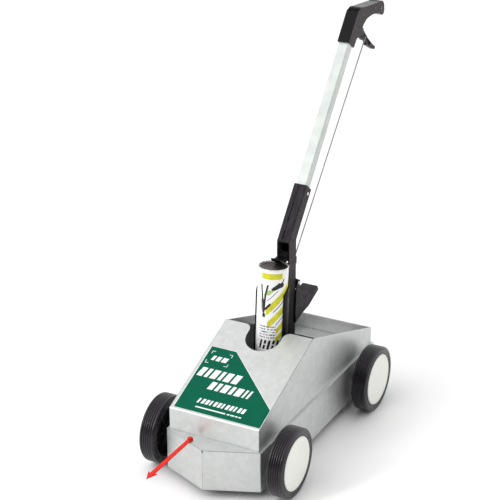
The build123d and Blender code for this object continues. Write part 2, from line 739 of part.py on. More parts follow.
# Rolled base rim and concave base, turned about the can's axis.
dome_edge, dome_top, dome_bottom = 29.0, -3.4, -9.0
dome_radius = (dome_edge**2 + (dome_top - dome_bottom) ** 2) / (2 * (dome_top - dome_bottom))
dome_middle = dome_bottom + dome_radius - (dome_radius**2 - 17**2) ** 0.5
with BuildPart() as can_base:
    with BuildSketch(can_side):
        with BuildLine():
            Line((0, dome_bottom), (0, dome_bottom - can_wall))
            ThreePointArc(
                (0, dome_bottom - can_wall), (17, dome_middle - can_wall),
                (dome_edge, dome_top - can_wall),
            )
            Polyline(
                (dome_edge, dome_top - can_wall), (can_radius - can_wall, dome_top - can_wall),
                (can_radius - can_wall, -3), (can_radius + 0.6, -3), (can_radius + 0.6, -0.8),
            )
            ThreePointArc(
                (can_radius + 0.6, -0.8), (can_radius - 0.6, 0), (can_radius - 1.8, -0.8)
            )
            Polyline((can_radius - 1.8, -0.8), (can_radius - 1.8, -2.4), (dome_edge, dome_top))
            ThreePointArc((dome_edge, dome_top), (17, dome_middle), (0, dome_bottom))
        make_face()
    revolve(axis=can_spin)
can_base.part.label = "can_base"
export_step(can_base.part, "parts/can_base.step")

with BuildPart() as valve_cup:
    with BuildSketch(can_axis.offset(-cup_end)):
        Circle(valve_radius + 1.2)
        Circle(stem_radius + 0.1, mode=Mode.SUBTRACT)
    extrude(amount=cup_end - can_shoulder)
    with BuildSketch(can_axis.offset(-cup_end)):
        Circle(valve_radius - 2)
        Circle(5, mode=Mode.SUBTRACT)
    extrude(amount=2.8, mode=Mode.SUBTRACT)
    with BuildSketch(can_axis.offset(-cup_end - 2)):
        Circle(5)
        Circle(stem_radius + 0.1, mode=Mode.SUBTRACT)
    extrude(amount=2)
valve_cup.part.label = "valve_cup"
export_step(valve_cup.part, "parts/valve_cup.step")

# ================================================================ can-pressing lever
tongue_height, tongue_tip = 401.0, 277.0
with BuildPart() as press_lever:
    with BuildSketch(side()):
        with Locations((lever_y, lever_height)):
            Circle(6)
        with Locations((crank_y, crank_height)):
            Circle(4.4)
        Polygon(
            (lever_y - 4, lever_height - 4.4), (crank_y - 3, crank_height - 3),
            (crank_y + 3, crank_height + 3), (lever_y + 4, lever_height + 4.4), align=None,
        )
        Polygon(
            (lever_y - 5, lever_height - 3), (lever_y - 14, tongue_height),
            (lever_y - 14, tongue_height + 12), (lever_y, lever_height + 6), align=None,
        )
    extrude(amount=6, both=True)
    with BuildSketch(side()):
        Polygon(
            (lever_y - 12, tongue_height), (tongue_tip + 6, tongue_height),
            (tongue_tip - 2, tongue_height + 8), (tongue_tip + 1, tongue_height + 10),
            (tongue_tip + 9, tongue_height + 3.5), (lever_y - 22, tongue_height + 3.5),
            (lever_y - 12, tongue_height + 12), align=None,
        )
    extrude(amount=inner_half - 0.8, both=True)
    with BuildSketch(side()):
        with Locations((lever_y, lever_height)):
            Circle(pin_radius + running_gap)
        with Locations((crank_y, crank_height)):
            Circle(rod_radius + 0.4)
    extrude(amount=20, both=True, mode=Mode.SUBTRACT)
press_lever.part.label = "press_lever"
export_step(press_lever.part, "parts/press_lever.step")

with BuildPart() as lever_pin:
    with BuildSketch(side()):
        with Locations((lever_y, lever_height)):
            Circle(pin_radius)
    extrude(amount=half_sleeve - 0.6, both=True)
lever_pin.part.label = "lever_pin"
export_step(lever_pin.part, "parts/lever_pin.step")

# ================================================================ release pedal
pedal_cheek, pedal_gap = 3.0, 0.4
cheek_inner = half_sleeve + pedal_gap
with BuildPart() as release_pedal:
    with BuildSketch(side()):
        with Locations((pedal_y, pedal_height)):
            Circle(6.6)
        Polygon(
            (pedal_y - 6, pedal_height + 2), (pedal_y + 6, pedal_height - 2), (372, 283),
            (378, 280.5), (449.5, 282.2), (455.5, 271), (406, 251), (370, 246), (340, 237),
            (338, 262), align=None,
        )
    extrude(amount=cheek_inner + pedal_cheek, both=True)
    with BuildSketch(side()):
        Polygon(
            (pedal_y - 30, pedal_height + 20), (pedal_y + 18, pedal_height + 20), (378, 277.1),
            (444.5, 278.7), (447, 270), (404, 244), (370, 230), (332, 220),
            (pedal_y - 30, 240), align=None,
        )
    extrude(amount=cheek_inner, both=True, mode=Mode.SUBTRACT)
    with BuildSketch(side()):
        with Locations((pedal_y, pedal_height)):
            Circle(pin_radius + running_gap)
    extrude(amount=40, both=True, mode=Mode.SUBTRACT)
release_pedal.part.label = "release_pedal"
export_step(release_pedal.part, "parts/release_pedal.step")

with BuildPart() as pedal_pin:
    with BuildSketch(side()):
        with Locations((pedal_y, pedal_height)):
            Circle(pin_radius)
    extrude(amount=cheek_inner + pedal_cheek + 2, both=True)
    for sign in (-1, 1):
        with BuildSketch(side(sign * (cheek_inner + pedal_cheek + 0.4))):
            with Locations((pedal_y, pedal_height)):
                Circle(6.2)
        extrude(amount=sign * 1.6)
pedal_pin.part.label = "pedal_pin"
export_step(pedal_pin.part, "parts/pedal_pin.step")


def coil_spring(start_x, end_x, y, height, inner, wire):
    """Close-wound torsion spring: wire rings side by side, turned about a pin along X."""
    turns = int((end_x - start_x) / (1.7 * wire))
    pitch = (end_x - start_x - 2 * wire) / (turns - 1)
    with BuildPart() as spring:
        with BuildSketch(Plane(origin=(0, hood_front + y, height), z_dir=(0, 0, 1))):
            for turn in range(turns):
                with Locations((start_x + wire + turn * pitch, inner + wire)):
                    Circle(wire)
        revolve(axis=Axis((0, hood_front + y, height), (1, 0, 0)))
    return spring


pedal_spring = coil_spring(-8, 8, pedal_y, pedal_height, 2.7, 0.8)
pedal_spring.part.label = "pedal_spring"
export_step(pedal_spring.part, "parts/pedal_spring.step")

# ================================================================ grip and trigger
half_grip = grip_width / 2
grip_pin = (trigger_y, trigger_height)
grip_screw_places = [
    along_wand(grip_start + 20), along_wand(540, n=-13.5), (735, 850),
]
# Two moulded halves with a slot for the trigger and a cavity in the handle.
for hand, sign in (("left", -1), ("right", 1)):
    with BuildPart() as grip_half:
        with BuildSketch(side()):
            with BuildLine():
                Polyline(
                    (690, 836), (675, 828), (669, 822), (657.5, 806), (640, 804.5),
                    along_wand(grip_start + 2, n=-16.5), along_wand(grip_start, n=16.5),
                    along_wand(532, n=16.5), along_wand(545, n=7), (664, 869.5), (677, 867),
                    (764, 859.5),
                )
                ThreePointArc((764, 859.5), (783, 855), (789, 840))
                ThreePointArc((789, 840), (787, 829), (777, 826))
                ThreePointArc((777, 826), (733, 838.5), (690, 836))
            make_face()
        extrude(amount=sign * half_grip)
        with BuildSketch(side()):
            with Locations(grip_pin):
                Circle(6.5)
        extrude(amount=sign * (half_grip - 0.8))
        with BuildSketch(wand.offset(grip_start - 20)):
            Rectangle(tube_size + 0.1, tube_size + 0.1)
        extrude(amount=89, mode=Mode.SUBTRACT)
        with BuildSketch(side()):
            Polygon(
                (652, 800), (664, 833), (684, 833), (700, 826), (700, 780), (652, 780), align=None
            )
        extrude(amount=8.3, both=True, mode=Mode.SUBTRACT)
        with BuildSketch(side()):
            Polygon((692, 857), (757, 852), (757, 840), (735, 844), (698, 842), align=None)
        extrude(amount=10, both=True, mode=Mode.SUBTRACT)
        with BuildSketch(side()):
            with Locations(grip_pin):
                Circle(pin_radius + 0.02)
            with Locations((hang_y, hang_height)):
                Circle(hang_radius)
            with Locations(*grip_screw_places):
                Circle(1.85)
        extrude(amount=30, both=True, mode=Mode.SUBTRACT)
        if sign > 0:
            with BuildSketch(side(half_grip - 1.5)):
                with Locations(*grip_screw_places):
                    Circle(3.6)
            extrude(amount=5, mode=Mode.SUBTRACT)
    grip_half.part.label = f"grip_{hand}"
    export_step(grip_half.part, f"parts/grip_{hand}.step")

with BuildPart() as grip_screws:
    for place in grip_screw_places:
        with BuildSketch(side(-half_grip + 2)):
            with Locations(place):
                Circle(1.8)
        extrude(amount=grip_width - 3.5)
        with BuildSketch(side(half_grip - 1.5)):
            with Locations(place):
                Circle(3.3)
                Rectangle(4.2, 0.9, mode=Mode.SUBTRACT)
                Rectangle(0.9, 4.2, mode=Mode.SUBTRACT)
        extrude(amount=1.8)
        with BuildSketch(side(half_grip - 1.5)):
            with Locations(place):
                Circle(2.4)
        extrude(amount=0.8)
grip_screws.part.label = "grip_screws"
export_step(grip_screws.part, "parts/grip_screws.step")

with BuildPart() as trigger_pin:
    with BuildSketch(side()):
        with Locations(grip_pin):
            Circle(pin_radius)
    extrude(amount=half_grip - 0.4, both=True)
trigger_pin.part.label = "trigger_pin"
export_step(trigger_pin.part, "parts/trigger_pin.step")

# Trigger: a thin curved blade with a wider barrel round its pin.
half_trigger, half_web, barrel_end = 3.5, 1.2, 7.5
with BuildPart() as trigger:
    with BuildSketch(side()):
        with BuildLine():
            Polyline(
                (trigger_y - 3, trigger_height - 4), (trigger_y + 1, trigger_height + 5.5),
                (trigger_y + 9, trigger_height + 3), (697, 810), (723.8, 784), (753.6, 761.2),
                (764, 755.5),
            )
            ThreePointArc((764, 755.5), (767, 750.5), (762, 748))
            Polyline(
                (762, 748), (751, 751.2), (733, 760.5), (716.5, 769), (712, 779),
                (693, 787.3), (680, 799), (trigger_y - 3, trigger_height - 4),
            )
        make_face()
    extrude(amount=half_trigger, both=True)
    with BuildSketch(side(-half_trigger)):
        with Locations(grip_pin):
            Circle(5.5)
    extrude(amount=half_trigger + barrel_end)
    # pockets on both sides leave a web with ribs
    for sign in (-1, 1):
        with BuildSketch(side(sign * half_web)):
            Polygon((702, 801), (713, 790), (714.5, 782.5), (704, 787), align=None)
            Polygon((718, 785), (740, 767.5), (733.5, 764.5), (719.5, 772), align=None)
        extrude(amount=sign * 8, mode=Mode.SUBTRACT)
    with BuildSketch(side()):
        with Locations(grip_pin):
            Circle(pin_radius + running_gap)
        with Locations((hook_y, hook_height)):
            Circle(rod_radius + 0.3)
    extrude(amount=20, both=True, mode=Mode.SUBTRACT)
trigger.part.label = "trigger"
export_step(trigger.part, "parts/trigger.step")

trigger_spring = coil_spring(-8, -3.9, trigger_y, trigger_height, 2.7, 0.6)
trigger_spring.part.label = "trigger_spring"
export_step(trigger_spring.part, "parts/trigger_spring.step")

# ================================================================ pull rod
with BuildPart() as pull_rod:
    with BuildLine():
        FilletPolyline(
            (-2, hood_front + crank_y, crank_height), (rod_x, hood_front + crank_y, crank_height),
            (rod_x, hood_front + hook_y, hook_height), (-2, hood_front + hook_y, hook_height),
            radius=2,
        )
    with BuildSketch(Plane(origin=(-2, hood_front + crank_y, crank_height), z_dir=(1, 0, 0))):
        Circle(rod_radius)
    sweep()
pull_rod.part.label = "pull_rod"
export_step(pull_rod.part, "parts/pull_rod.step")
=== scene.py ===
import json
from math import atan2, cos, pi, radians, sin, sqrt

import bmesh
import bpy
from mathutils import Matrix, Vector


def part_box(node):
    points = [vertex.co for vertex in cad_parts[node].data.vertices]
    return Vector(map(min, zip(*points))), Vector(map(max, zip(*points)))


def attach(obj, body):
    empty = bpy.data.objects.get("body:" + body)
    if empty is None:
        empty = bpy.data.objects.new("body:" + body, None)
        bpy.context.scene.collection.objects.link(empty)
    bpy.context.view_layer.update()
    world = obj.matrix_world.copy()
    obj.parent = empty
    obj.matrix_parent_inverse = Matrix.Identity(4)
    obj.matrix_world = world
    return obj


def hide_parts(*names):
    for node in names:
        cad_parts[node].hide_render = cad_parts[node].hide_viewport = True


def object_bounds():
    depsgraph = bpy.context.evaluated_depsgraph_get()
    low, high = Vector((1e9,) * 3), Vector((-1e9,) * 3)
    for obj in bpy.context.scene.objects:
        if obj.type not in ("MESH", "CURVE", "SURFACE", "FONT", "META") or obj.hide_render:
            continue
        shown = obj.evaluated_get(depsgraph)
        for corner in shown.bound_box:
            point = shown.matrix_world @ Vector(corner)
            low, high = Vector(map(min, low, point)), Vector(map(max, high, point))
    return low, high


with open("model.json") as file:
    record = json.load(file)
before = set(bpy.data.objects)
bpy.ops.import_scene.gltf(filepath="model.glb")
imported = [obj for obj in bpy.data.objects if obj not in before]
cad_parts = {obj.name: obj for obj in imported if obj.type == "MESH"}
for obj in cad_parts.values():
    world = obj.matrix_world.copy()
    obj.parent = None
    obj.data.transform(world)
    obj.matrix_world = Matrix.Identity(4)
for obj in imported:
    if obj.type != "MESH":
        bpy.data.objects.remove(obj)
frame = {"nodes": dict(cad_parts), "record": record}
cad_low, cad_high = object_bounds()
nodes = frame["nodes"]

MM = 0.001
RIGHT = Vector((1, 0, 0))
WAND_LEAN = 38.0                 # degrees back from upright
CAN_LEAN = 4.0                   # degrees back from upright
PRINT_AZIMUTH = 27.8             # the way the can's printing faces, degrees from -Y towards +X

CAMERA_PLACE = (1.3792, -2.7506, 1.7522)
CAMERA_TARGET = (-0.0476, -0.0460, 0.4322)
LENS_MM = 113.2
SENSOR_MM = 36.0

DARK_SIDE = (0.42, -0.90, -0.05)        # the sky is darker on this side
SKY_FADE = {"From Min": 0.25, "From Max": 0.95,     # closeness to the dark side
            "To Min": 1.10, "To Max": 0.08}         # and the sky's strength there
FLOOR_HALF = 8.0
FLOOR_GAP = 0.2 * MM             # keeps the floor's face clear of the tyres


# ------------------------------------------------------------------ camera, floor, light
def linked(name, data):
    """A new object with this data, linked to the scene."""
    made = bpy.data.objects.new(name, data)
    bpy.context.scene.collection.objects.link(made)
    return made


def aimed(direction):
    """The rotation that turns a camera or light, which looks down its -Z, to a direction."""
    return direction.to_track_quat("-Z", "Y").to_euler()


def make_camera():
    """The camera stands in front of the machine, to its right and above it."""
    data = bpy.data.cameras.new("camera")
    data.lens = LENS_MM
    data.sensor_width = SENSOR_MM
    data.clip_end = 50.0
    camera = linked("camera", data)
    camera.location = CAMERA_PLACE
    camera.rotation_euler = aimed(Vector(CAMERA_TARGET) - camera.location)
    bpy.context.scene.camera = camera


def area_light(name, location, target, size, watts):
    """A rectangular lamp that looks at the target."""
    data = bpy.data.lights.new(name, "AREA")
    data.shape = "RECTANGLE"
    data.size, data.size_y = size
    data.energy = watts
    light = linked(name, data)
    light.location = location
    light.rotation_euler = aimed(Vector(target) - Vector(location))


def sun_light(name, source, strength, spread):
    """A soft light that is equally strong everywhere on the floor."""
    data = bpy.data.lights.new(name, "SUN")
    data.energy = strength
    data.angle = radians(spread)
    light = linked(name, data)
    light.rotation_euler = aimed(-Vector(source))


def make_floor():
    """A matt white floor just under the wheels."""
    corners = [(-FLOOR_HALF, -FLOOR_HALF, 0), (FLOOR_HALF, -FLOOR_HALF, 0),
               (FLOOR_HALF, FLOOR_HALF, 0), (-FLOOR_HALF, FLOOR_HALF, 0)]
    mesh = bpy.data.meshes.new("floor")
    mesh.from_pydata(corners, [], [(0, 1, 2, 3)])
    floor = linked("floor", mesh)
    floor.location.z = cad_low.z - FLOOR_GAP
    look = Look("studio_floor", Roughness=0.9, Specular_IOR_Level=0.1)
    look.colour((0.93, 0.93, 0.93, 1.0))
    mesh.materials.append(look.material)


def make_sky():
    """A white sky that fades towards the dark side."""
    world = bpy.data.worlds.new("studio")
    world.use_nodes = True
    sky = world.node_tree
    direction = sky.nodes.new("ShaderNodeTexCoord")
    towards = sky.nodes.new("ShaderNodeVectorMath")
    towards.operation = "DOT_PRODUCT"
    towards.inputs[1].default_value = DARK_SIDE
    fade = sky.nodes.new("ShaderNodeMapRange")
    fade.interpolation_type = "SMOOTHSTEP"
    for socket, number in SKY_FADE.items():
        fade.inputs[socket].default_value = number
    background = sky.nodes["Background"]
    sky.links.new(direction.outputs["Generated"], towards.inputs[0])
    sky.links.new(towards.outputs["Value"], fade.inputs["Value"])
    sky.links.new(fade.outputs[0], background.inputs["Strength"])
    background.inputs["Color"].default_value = (1.0, 1.0, 1.0, 1.0)
    bpy.context.scene.world = world


# ------------------------------------------------------------------ material building
class Look:
    """One material under construction: a principled shader and the nodes that feed it."""

    def __init__(self, name, **sockets):
        self.material = bpy.data.materials.new(name)
        self.material.use_nodes = True
        self.tree = self.material.node_tree
        self.shader = self.tree.nodes["Principled BSDF"]
        for socket, value in sockets.items():
            self.shader.inputs[socket.replace("_", " ")].default_value = value
        self.coordinates = self.add("ShaderNodeTexCoord")

    def add(self, kind, **settings):
        node = self.tree.nodes.new(kind)
        for key, value in settings.items():
            setattr(node, key, value)
        return node

    def put(self, socket, value):
        """Links an output to a socket, or sets the socket's own value."""
        if isinstance(value, bpy.types.NodeSocket):
            self.tree.links.new(value, socket)
        else:
            socket.default_value = value

    def math(self, operation, first, second=0.0, third=0.0, clamp=False):
        node = self.add("ShaderNodeMath", operation=operation, use_clamp=clamp)
        for socket, value in zip(node.inputs, (first, second, third)):
            self.put(socket, value)
        return node.outputs[0]

    def split(self, vector):
        """The three components of a vector."""
        node = self.add("ShaderNodeSeparateXYZ")
        self.put(node.inputs[0], vector)
        return node.outputs

    def join(self, x, y):
        """A vector in the XY plane."""
        node = self.add("ShaderNodeCombineXYZ")
        self.put(node.inputs[0], x)
        self.put(node.inputs[1], y)
        return node.outputs[0]

    def vector(self, operation, first, second=(0, 0, 0), scale=None):
        node = self.add("ShaderNodeVectorMath", operation=operation)
        self.put(node.inputs[0], first)
        self.put(node.inputs[1], second)
        if scale is not None:
            self.put(node.inputs["Scale"], scale)
        return node.outputs["Value" if operation in ("DOT_PRODUCT", "LENGTH") else "Vector"]

    def place(self, scale=(1, 1, 1), turn=(0, 0, 0)):
        """The place on the object, scaled and turned."""
        node = self.add("ShaderNodeMapping")
        self.put(node.inputs["Vector"], self.coordinates.outputs["Object"])
        node.inputs["Scale"].default_value = scale
        node.inputs["Rotation"].default_value = turn
        return node.outputs[0]

    def noise(self, where, scale, detail, roughness=0.5):
        """Soft noise from 0 to 1 whose grains are about 1 / scale metres."""
        node = self.add("ShaderNodeTexNoise")
        self.put(node.inputs["Vector"], where)
        node.inputs["Scale"].default_value = scale
        node.inputs["Detail"].default_value = detail
        node.inputs["Roughness"].default_value = roughness
        return node.outputs["Fac"]

    def cells(self, where, scale, output="Color"):
        """Voronoi cells about 1 / scale metres across."""
        node = self.add("ShaderNodeTexVoronoi")
        self.put(node.inputs["Vector"], where)
        node.inputs["Scale"].default_value = scale
        return node.outputs[output]

    def remap(self, value, old, new):
        """Stretches one range of numbers onto another, clamped at both ends."""
        node = self.add("ShaderNodeMapRange")
        self.put(node.inputs["Value"], value)
        for socket, number in zip(("From Min", "From Max", "To Min", "To Max"), (*old, *new)):
            node.inputs[socket].default_value = number
        return node.outputs[0]

    def mix(self, factor, first, second, blend="MIX"):
        """The first colour at factor 0 and the second at 1."""
        node = self.add("ShaderNodeMix", data_type="RGBA", blend_type=blend)
        self.put(node.inputs["Factor"], factor)
        for socket, colour in ((6, first), (7, second)):
            if isinstance(colour, tuple):
                colour = (*colour[:3], 1.0)
            self.put(node.inputs[socket], colour)
        return node.outputs[2]

    def shade(self, colour, factor):
        """The colour times a brightness factor."""
        grey = self.add("ShaderNodeCombineColor")
        for socket in grey.inputs:
            self.put(socket, factor)
        return self.mix(1.0, colour, grey.outputs[0], "MULTIPLY")

    def bump(self, height, distance, strength=1.0):
        node = self.add("ShaderNodeBump")
        node.inputs["Distance"].default_value = distance
        node.inputs["Strength"].default_value = strength
        self.put(node.inputs["Height"], height)
        self.put(self.shader.inputs["Normal"], node.outputs[0])

    def colour(self, value):
        self.put(self.shader.inputs["Base Color"], value)

    def rough(self, value):
        self.put(self.shader.inputs["Roughness"], value)


def galvanised_look(name, base, shade_line_x=None):
    """Zinc-coated sheet: faint spangle, soft clouds, fine handling scratches.  Beyond the
    given x on either side the sheet is darkened with painted shade, a dark line standing in for
    the shadow at the fold's edge."""
    look = Look(name, Metallic=0.72, Specular_IOR_Level=0.4)
    where = look.place()
    spangle = look.remap(look.cells(look.place((1, 0.8, 1)), 95), (0, 1), (0.93, 1.05))
    clouds = look.remap(look.noise(where, 7, 4), (0.3, 0.7), (0.96, 1.03))
    streaks = look.noise(look.place((4, 60, 90), (radians(21), 0, 0)), 3, 5)
    tone = look.math("MULTIPLY", spangle, clouds)
    tone = look.math("MULTIPLY", tone, look.remap(streaks, (0.3, 0.7), (0.985, 1.015)))
    colour = look.shade(base, tone)
    # painted shade: beyond the given x the colour is mixed towards dark grey, a line standing in
    # for the shadow at the fold's edge
    if shade_line_x is not None:
        x = look.split(where)[0]
        shade_line = look.math("GREATER_THAN", look.math("ABSOLUTE", x), shade_line_x)
        colour = look.mix(look.math("MULTIPLY", shade_line, 0.6), colour, (0.16, 0.16, 0.17))
    look.colour(colour)
    scratches = look.noise(look.place((14, 300, 300), (0, 0, radians(12))), 5, 6, 0.6)
    look.rough(look.remap(scratches, (0.3, 0.75), (0.37, 0.50)))
    waves = look.noise(look.place((1, 1, 1)), 5.5, 1)
    grain = look.noise(where, 900, 2)
    height = look.math("ADD", waves, look.math("MULTIPLY", grain, 0.012))
    look.bump(height, 0.004, 0.25)
    return look.material


def vinyl_look(name, base, roughness):
    """Printed film with a little scuffing."""
    look = Look(name, Specular_IOR_Level=0.07)
    where = look.place()
    print_tone = look.remap(look.noise(where, 40, 4), (0.3, 0.7), (0.93, 1.06))
    scuffs = look.noise(look.place((30, 260, 200), (0, 0, radians(25))), 4, 6, 0.7)
    discoloured = look.remap(scuffs, (0.68, 0.82), (0.0, 0.12))
    look.colour(look.mix(discoloured, look.shade(base, print_tone), (0.75, 0.8, 0.78)))
    patches = look.noise(where, 160, 3)
    look.rough(look.remap(patches, (0.3, 0.7), (roughness - 0.06, roughness + 0.1)))
    look.bump(look.noise(where, 700, 2), 0.0002, 0.3)
    return look.material


def plastic_look(name, base, roughness, grain_scale=1600, grain=0.35, specular=0.22):
    """Moulded plastic with a fine spark-eroded grain and pale scuffs."""
    look = Look(name, Specular_IOR_Level=specular)
    where = look.place()
    tone = look.remap(look.noise(where, 22, 4), (0.3, 0.7), (0.75, 1.3))
    dust = look.remap(look.noise(where, 130, 6, 0.7), (0.56, 0.8), (0.0, 0.4))
    pale = tuple(min(0.85, 3.4 * c) for c in base)
    look.colour(look.mix(dust, look.shade(base, tone), pale))
    patches = look.noise(where, 60, 5)
    look.rough(look.remap(patches, (0.3, 0.7), (roughness - 0.08, roughness + 0.12)))
    look.bump(look.cells(where, grain_scale, "Distance"), 0.00025, grain)
    return look.material


def moulding_look(name, front, side, roughness, front_shade_heights=None, side_shade_heights=None):
    """Black moulding: a smooth front and back, and sides with a coarse grain.  Painted light:
    the sides are coloured lighter than the front and back, as if lit, and each optional pair of
    heights is where that colour darkens downwards into painted shade."""
    look = Look(name, Specular_IOR_Level=0.08)
    where = look.place()
    normal_x = look.split(look.coordinates.outputs["Normal"])[0]
    sideways = look.remap(look.math("ABSOLUTE", normal_x), (0.6, 0.9), (0.0, 1.0))
    mottle_and_shade = look.remap(look.noise(where, 210, 6, 0.75), (0.36, 0.66), (0.25, 1.7))
    streak_and_shade = look.remap(look.noise(look.place((60, 14, 8)), 3, 5, 0.6), (0.35, 0.7), (0.6, 1.9))
    # painted shade: both colours darken downwards between the given heights, on top of their
    # random streaks and mottle
    if front_shade_heights:
        height = look.split(where)[2]
        streak_and_shade = look.math("MULTIPLY", streak_and_shade, look.remap(height, front_shade_heights, (0.08, 1.0)))
        mottle_and_shade = look.math("MULTIPLY", mottle_and_shade, look.remap(height, side_shade_heights, (0.12, 1.0)))
    # painted light: faces turned sideways take the lighter side colour, the front and back the
    # darker one
    look.colour(look.mix(sideways, look.shade(front, streak_and_shade), look.shade(side, mottle_and_shade)))
    look.rough(look.math("MULTIPLY_ADD", sideways, 0.2, roughness))
    grain = look.math("MULTIPLY", look.cells(where, 1300, "Distance"), sideways)
    look.bump(look.math("ADD", grain, look.math("MULTIPLY", mottle_and_shade, 0.3)), 0.0003, 0.4)
    return look.material


def radial_metal_look(name, node, inner, outer, edge, along):
    """Metal of one brightness inside a radius about the node's middle and another outside
    it.  The radius is measured across the node's axis, which is along the vector."""
    look = Look(name, Metallic=0.8)
    low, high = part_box(node)
    offset = look.vector("SUBTRACT", look.coordinates.outputs["Object"], tuple((low + high) / 2))
    share = look.vector("DOT_PRODUCT", offset, along)
    axial = look.vector("SCALE", along, scale=share)
    radius = look.vector("LENGTH", look.vector("SUBTRACT", offset, axial))
    mask = look.remap(radius, (edge - 0.3 * MM, edge + 0.3 * MM), (0.0, 1.0))
    rings = look.math("SINE", look.math("MULTIPLY", radius, 9000.0))
    turned = look.remap(rings, (-1, 1), (0.9, 1.05))
    blotch = look.remap(look.noise(look.place(), 90, 4), (0.3, 0.7), (0.8, 1.2))
    look.colour(look.shade(look.mix(mask, inner, outer), look.math("MULTIPLY", turned, blotch)))
    look.rough(look.remap(look.noise(look.place(), 200, 3), (0.3, 0.7), (0.24, 0.36)))
    look.bump(turned, 0.0002, 0.2)
    return look.material


def metal_look(name, base, roughness, turn=(0, 0, 0), stretch=(1, 1, 1), metallic=1.0):
    """Drawn, turned or brushed metal.  The streaks run along the axis whose stretch is
    smallest, after the turn."""
    look = Look(name, Metallic=metallic)
    where = look.place(stretch, turn)
    streaks = look.noise(where, 240, 5, 0.65)
    blotch = look.remap(look.noise(look.place(), 35, 4), (0.3, 0.7), (0.9, 1.06))
    tone = look.math("MULTIPLY", blotch, look.remap(streaks, (0.3, 0.7), (0.93, 1.05)))
    look.colour(look.shade(base, tone))
    look.rough(look.remap(streaks, (0.3, 0.7), (roughness - 0.07, roughness + 0.1)))
    look.bump(streaks, 0.0002, 0.25)
    return look.material


def wheel_rings(look, tightness):
    """The radius from a wheel's axle, 0.5 at its rim, and waves that run round the wheel."""
    offset = look.vector("SUBTRACT", look.coordinates.outputs["Generated"], (0.5, 0.5, 0.5))
    radius = look.vector("LENGTH", look.vector("MULTIPLY", offset, (0, 1, 1)))
    return radius, look.math("SINE", look.math("MULTIPLY", radius, tightness))


def rubber_look(name):
    """Black rubber: patches of greyer bloom and dust, mould lines running round the wheel."""
    look = Look(name, Specular_IOR_Level=0.20, Coat_Weight=0.38, Coat_Roughness=0.20)
    where = look.place()
    lines = wheel_rings(look, 900.0)[1]
    bloom = look.remap(look.noise(where, 45, 5, 0.6), (0.35, 0.75), (0.0, 0.5))
    base = look.mix(bloom, (0.0085, 0.0065, 0.0095), (0.020, 0.016, 0.021))
    dusty = look.remap(look.noise(where, 260, 4, 0.7), (0.62, 0.8), (0.0, 0.3))
    look.colour(look.mix(dusty, base, (0.06, 0.052, 0.052)))
    look.rough(look.remap(look.noise(where, 90, 4), (0.3, 0.7), (0.24, 0.40)))
    grain = look.noise(where, 1100, 3)
    look.bump(look.math("ADD", grain, look.math("MULTIPLY", lines, 0.25)), 0.0003, 0.3)
    return look.material


def disc_look(name):
    """Off-white moulded disc with faint turning rings, a little road dust, and a tone that darkens
    towards its rim, where it meets the tyre.
    """
    look = Look(name, Coat_Weight=0.15, Coat_Roughness=0.3)
    where = look.place()
    radius, rings = wheel_rings(look, 420.0)
    tone = look.remap(look.noise(where, 18, 4), (0.3, 0.7), (0.96, 1.02))
    dirt = look.remap(look.noise(where, 120, 6, 0.7), (0.6, 0.85), (0.0, 0.3))
    # darker towards the disc's rim
    edge = look.remap(radius, (0.44, 0.5), (0.0, 0.25))
    discoloured = look.math("MAXIMUM", dirt, edge)
    base = look.mix(discoloured, (0.86, 0.87, 0.815), (0.54, 0.53, 0.48))
    look.colour(look.shade(base, tone))
    look.rough(look.remap(look.noise(where, 80, 3), (0.3, 0.7), (0.38, 0.52)))
    look.bump(look.math("ADD", rings, look.noise(where, 900, 2)), 0.0002, 0.2)
    return look.material


def enamel_look(name, base, dark):
    """Glossy paint with orange-peel, slightly darker where it is thin."""
    look = Look(name, Specular_IOR_Level=0.12, Coat_Weight=0.05, Coat_Roughness=0.2)
    where = look.place()
    thin = look.remap(look.noise(where, 70, 4), (0.42, 0.75), (0.0, 0.45))
    look.colour(look.mix(thin, base, dark))
    look.rough(look.remap(look.noise(where, 200, 3), (0.3, 0.7), (0.28, 0.42)))
    look.bump(look.noise(where, 420, 2), 0.0003, 0.25)
    return look.material


# ------------------------------------------------------------------ the can's printing
CAN_RADIUS = 32.5                # mm
ROWS_TOP, ROW_PITCH = 126.0, 6.2         # mm below the can's base
WHITE_PRINT = (0.95, 0.96, 0.945)
LIME = (0.68, 0.66, 0.012)
VIOLET = (0.10, 0.06, 0.22)
INK = (0.004, 0.004, 0.006)


